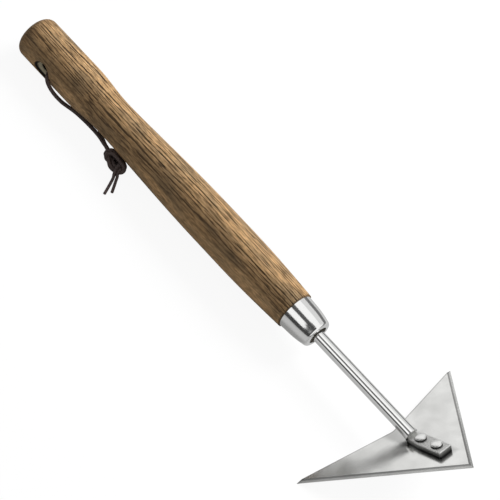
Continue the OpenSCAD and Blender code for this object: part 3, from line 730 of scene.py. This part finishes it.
def satinSteel():
    p = plateFinish
    material, tree, shader = newMaterial("satinStainless")
    coords = addNode(tree, "ShaderNodeTexCoord").outputs["Object"]
    plate = addNode(tree, "ShaderNodeMapping", {"Vector": coords, **bendMapping},
                    vector_type="TEXTURE").outputs["Vector"]
    belt = addNode(tree, "ShaderNodeMapping", {"Vector": plate, "Scale": p["beltScale"]}).outputs["Vector"]
    lines = addNode(tree, "ShaderNodeTexNoise", {"Vector": belt, "Scale": 1, "Detail": 3}).outputs["Fac"]
    cloud = addNode(tree, "ShaderNodeTexNoise", {
        "Vector": plate, "Scale": p["cloudScale"], "Detail": 2,
    }).outputs["Fac"]
    cloud = addNode(tree, "ShaderNodeMapRange", {"Value": cloud, **p["cloudTone"]}).outputs["Result"]
    tint = addNode(tree, "ShaderNodeMix", {
        "Factor": cloud, colourA: linear(p["low"]), colourB: linear(p["high"]),
    }, data_type="RGBA").outputs[colourOut]
    # Both wings are measured as one, folded along the middle of the blade
    parts = addNode(tree, "ShaderNodeSeparateXYZ", {"Vector": plate}).outputs
    side = addNode(tree, "ShaderNodeMath", {0: parts["Y"]}, operation="ABSOLUTE").outputs[0]
    folded = addNode(tree, "ShaderNodeCombineXYZ", {"X": parts["X"], "Y": side}).outputs[0]
    # Front bevels
    front = addNode(tree, "ShaderNodeVectorMath", {0: folded, 1: p["frontSquare"]},
                    operation="DOT_PRODUCT").outputs["Value"]
    front = addNode(tree, "ShaderNodeMath", {0: front, 1: p["frontAt"]}, operation="ADD").outputs[0]
    onBevel = addNode(tree, "ShaderNodeMath", {0: front, 1: p["bevel"]}, operation="LESS_THAN").outputs[0]
    bevelInnerTone = addNode(tree, "ShaderNodeMapRange", {"Value": front, **p["bevelInnerTone"]}).outputs["Result"]
    shade = addNode(tree, "ShaderNodeMix", {"Factor": onBevel, "A": 1, "B": bevelInnerTone}).outputs[0]
    # Darker along the back edges
    back = addNode(tree, "ShaderNodeVectorMath", {0: folded, 1: p["backSquare"]},
                   operation="DOT_PRODUCT").outputs["Value"]
    back = addNode(tree, "ShaderNodeMath", {0: back, 1: p["backAt"]}, operation="ADD").outputs[0]
    backEdgeTone = addNode(tree, "ShaderNodeMapRange", {"Value": back, **p["backEdgeTone"]}).outputs["Result"]
    shade = addNode(tree, "ShaderNodeMath", {0: shade, 1: backEdgeTone}, operation="MULTIPLY").outputs[0]
    # Painted shade round the tang, where its contact shadow falls on the blade
    beside = addNode(tree, "ShaderNodeMath", {0: side, 1: tangSide}, operation="SUBTRACT").outputs[0]
    beyond = addNode(tree, "ShaderNodeMath", {0: parts["X"], 1: tangEnd}, operation="SUBTRACT").outputs[0]
    fromTang = addNode(tree, "ShaderNodeMath", {0: beside, 1: beyond}, operation="MAXIMUM").outputs[0]
    contactShade = addNode(tree, "ShaderNodeMapRange", {"Value": fromTang, **p["tangShadeFalloff"]},
                    interpolation_type="SMOOTHSTEP").outputs["Result"]
    shade = addNode(tree, "ShaderNodeMath", {0: shade, 1: contactShade}, operation="MULTIPLY").outputs[0]
    tint = addNode(tree, "ShaderNodeMix", {"Factor": 1, colourA: tint, colourB: shade},
                   data_type="RGBA", blend_type="MULTIPLY").outputs[colourOut]
    tree.links.new(tint, shader.inputs["Base Color"])
    rough = addNode(tree, "ShaderNodeMapRange", {"Value": lines, **p["roughness"]}).outputs["Result"]
    tree.links.new(rough, shader.inputs["Roughness"])
    shader.inputs["Metallic"].default_value = 1
    bump = addNode(tree, "ShaderNodeBump", {"Height": lines, **p["relief"]})
    tree.links.new(bump.outputs["Normal"], shader.inputs["Normal"])
    return material


# Cold-headed stainless rivets: bright crowns with small hammer marks, and painted shade round the foot, where
# each head meets the tang
rivetFinish = {
    "crown": "#e8e8e6",
    # painted shade round each rivet's foot
    "contactShade": "#0c0c0c",
    "foot": {"From Min": 2.9, "From Max": 3.5, "To Min": 1, "To Max": 0},
    "markScale": 700,
    "roughness": {"To Min": 0.24, "To Max": 0.38},
    "relief": {"Strength": 0.2, "Distance": 0.0002},
}


def rivetSteel():
    r = rivetFinish
    material, tree, shader = newMaterial("rivetStainless")
    coords = addNode(tree, "ShaderNodeTexCoord").outputs["Object"]
    plate = addNode(tree, "ShaderNodeMapping", {"Vector": coords, **bendMapping},
                    vector_type="TEXTURE").outputs["Vector"]
    height = addNode(tree, "ShaderNodeSeparateXYZ", {"Vector": plate}).outputs["Z"]
    # painted shade on the lower part of each head, where it meets the tang
    foot = addNode(tree, "ShaderNodeMapRange", {"Value": height, **r["foot"]}).outputs["Result"]
    colour = addNode(tree, "ShaderNodeMix", {
        "Factor": foot, colourA: linear(r["crown"]), colourB: linear(r["contactShade"]),
    }, data_type="RGBA").outputs[colourOut]
    tree.links.new(colour, shader.inputs["Base Color"])
    marks = addNode(tree, "ShaderNodeTexNoise", {
        "Vector": coords, "Scale": r["markScale"], "Detail": 2,
    }).outputs["Fac"]
    rough = addNode(tree, "ShaderNodeMapRange", {"Value": marks, **r["roughness"]}).outputs["Result"]
    tree.links.new(rough, shader.inputs["Roughness"])
    shader.inputs["Metallic"].default_value = 1
    bump = addNode(tree, "ShaderNodeBump", {"Height": marks, **r["relief"]})
    tree.links.new(bump.outputs["Normal"], shader.inputs["Normal"])
    return material


# Round-cut leather lace, dyed dark brown and lightly waxed
hide = {
    "dark": "#382c2a",
    "light": "#64534e",
    "roughness": 0.55,
    "grainScale": 900,
    "relief": {"Strength": 0.25, "Distance": 0.0002},
}


def laceLeather():
    material, tree, shader = newMaterial("lacedLeather")
    coords = addNode(tree, "ShaderNodeTexCoord").outputs["Object"]
    grain = addNode(tree, "ShaderNodeTexNoise", {
        "Vector": coords, "Scale": hide["grainScale"], "Detail": 3,
    }).outputs["Fac"]
    colour = addNode(tree, "ShaderNodeMix", {
        "Factor": grain, colourA: linear(hide["dark"]), colourB: linear(hide["light"]),
    }, data_type="RGBA").outputs[colourOut]
    tree.links.new(colour, shader.inputs["Base Color"])
    shader.inputs["Roughness"].default_value = hide["roughness"]
    bump = addNode(tree, "ShaderNodeBump", {"Height": grain, **hide["relief"]})
    tree.links.new(bump.outputs["Normal"], shader.inputs["Normal"])
    return material


def dress():
    pieces["handle"].data.materials.append(stainedWood())
    forgedShank.data.materials.append(shankSteel())
    rivets = rivetSteel()
    for name in ("rear_rivet", "front_rivet"):
        pieces[name].data.materials.append(rivets)
    nodes["blade"].data.materials.clear()
    nodes["blade"].data.materials.append(satinSteel())
    ferruleShell.data.materials.append(polishedSteel())
    leather = laceLeather()
    for piece in (nearStrand, farStrand, knot):
        piece.data.materials.append(leather)


dress()
print("materials assigned")

# White sheet with a key lamp on the far side, and long cards whose dark and pale strips show in the steel.
# A card's from and to are degrees round the handle from +Y up, and its span runs along X.
studio = {
    "ambient": 0.33,
    "key": {"angle": 45, "lean": 0.15, "distance": 1.6, "size": 0.9, "power": 24.5},
    "cards": [
        {"from": 0, "to": 28, "level": 0.17, "span": (-0.65, 4.0)},
        {"from": 30, "to": 60, "level": 0.72, "span": (-1.0, 0.7)},
        {"from": 95, "to": 123, "level": 0.075, "span": (0.25, 1.7)},
        {"from": 101, "to": 123, "level": 0.075, "span": (-4.0, 0.25)},
        {"from": 156, "to": 190, "level": 0.05, "span": (-4.0, 1.7)},
        {"from": 123, "to": 134, "level": 0.075, "span": (0.16, 1.7)},
        {"from": 134, "to": 141, "level": 0.075, "span": (0.23, 1.7)},
        {"from": 141, "to": 149, "level": 0.06, "span": (0.25, 1.7)},
        {"from": 149, "to": 156, "level": 0.06, "span": (0.2, 1.7)},
        {"from": 70, "to": 104, "level": 0.6, "span": (-6.0, -1.1)},
        {"from": 119, "to": 163, "level": 0.06, "span": (-6.0, -0.9)},
    ],
    "cardDistance": 1.7,
    "floorSize": 6,
    "paper": 0.36,
    "paperSeen": 0.1,
    "paperGlow": 0.92,
    "paperGlowInSteel": 0.2,
}


def onlyInReflections(obj):
    obj.visible_camera = False
    obj.visible_diffuse = False
    obj.visible_transmission = False
    obj.visible_shadow = False


def addWorld():
    world = bpy.data.worlds.new("studio")
    scene.world = world
    world.use_nodes = True
    tree = world.node_tree
    path = addNode(tree, "ShaderNodeLightPath").outputs
    seen = path["Is Camera Ray"]
    for ray in ("Is Glossy Ray", "Is Transmission Ray"):
        seen = addNode(tree, "ShaderNodeMath", {0: seen, 1: path[ray]}, operation="MAXIMUM").outputs[0]
    level = addNode(tree, "ShaderNodeMapRange", {
        "Value": seen, "To Min": studio["ambient"], "To Max": 1,
    }).outputs["Result"]
    background = tree.nodes["Background"]
    tree.links.new(level, background.inputs["Strength"])
    background.inputs["Color"].default_value = (1, 1, 1, 1)


def addFloor():
    bm = bmesh.new()
    bmesh.ops.create_grid(bm, x_segments=1, y_segments=1, size=studio["floorSize"])
    floor = addMesh("floor", bm)
    material, tree, shader = newMaterial("whitePaper")
    path = addNode(tree, "ShaderNodeLightPath").outputs
    seen = path["Is Camera Ray"]
    grey = addNode(tree, "ShaderNodeMapRange", {
        "Value": seen, "To Min": studio["paper"], "To Max": studio["paperSeen"],
    }).outputs["Result"]
    tree.links.new(grey, shader.inputs["Base Color"])
    shader.inputs["Roughness"].default_value = 1
    shader.inputs["Specular IOR Level"].default_value = 0
    shader.inputs["Emission Color"].default_value = (1, 1, 1, 1)
    glossy = addNode(tree, "ShaderNodeMath", {0: path["Is Glossy Ray"], 1: studio["paperGlowInSteel"]},
                     operation="MULTIPLY").outputs[0]
    glow = addNode(tree, "ShaderNodeMath", {0: seen, 1: studio["paperGlow"], 2: glossy},
                   operation="MULTIPLY_ADD").outputs[0]
    tree.links.new(glow, shader.inputs["Emission Strength"])
    floor.data.materials.append(material)


def addCards():
    reach = studio["cardDistance"]
    for i, card in enumerate(studio["cards"]):
        low, high = card["span"]
        middle = math.radians((card["from"] + card["to"]) / 2)
        half = math.radians(card["to"] - card["from"]) / 2
        bm = bmesh.new()
        bmesh.ops.create_grid(bm, x_segments=1, y_segments=1, size=1)
        bmesh.ops.scale(bm, vec=((high - low) / 2, reach * math.tan(half), 1), verts=bm.verts)
        turn = Matrix.Rotation(middle - math.pi / 2, 4, "X")
        place = turn @ Matrix.Translation(((low + high) / 2, 0, reach))
        bmesh.ops.transform(bm, matrix=place, verts=bm.verts)
        obj = addMesh(f"card{i}", bm)
        material = bpy.data.materials.new(f"card{i}")
        material.use_nodes = True
        tree = material.node_tree
        tree.nodes.clear()
        glow = addNode(tree, "ShaderNodeEmission", {"Color": (1, 1, 1, 1), "Strength": card["level"]})
        addNode(tree, "ShaderNodeOutputMaterial", {"Surface": glow.outputs[0]})
        obj.data.materials.append(material)
        onlyInReflections(obj)


def addKey():
    key = studio["key"]
    data = bpy.data.lights.new("key", "AREA")
    data.shape = "DISK"
    data.size = key["size"]
    data.energy = key["power"]
    lamp = bpy.data.objects.new("key", data)
    scene.collection.objects.link(lamp)
    angle = math.radians(key["angle"])
    away = Vector((key["lean"], math.cos(angle), math.sin(angle))).normalized()
    turn = away.to_track_quat("Z", "Y").to_matrix().to_4x4()
    lamp.matrix_world = Matrix.Translation(away * key["distance"]) @ turn
    lamp.visible_glossy = False


addWorld()
addFloor()
addCards()
addKey()
print("studio lit")

bpy.context.view_layer.update()
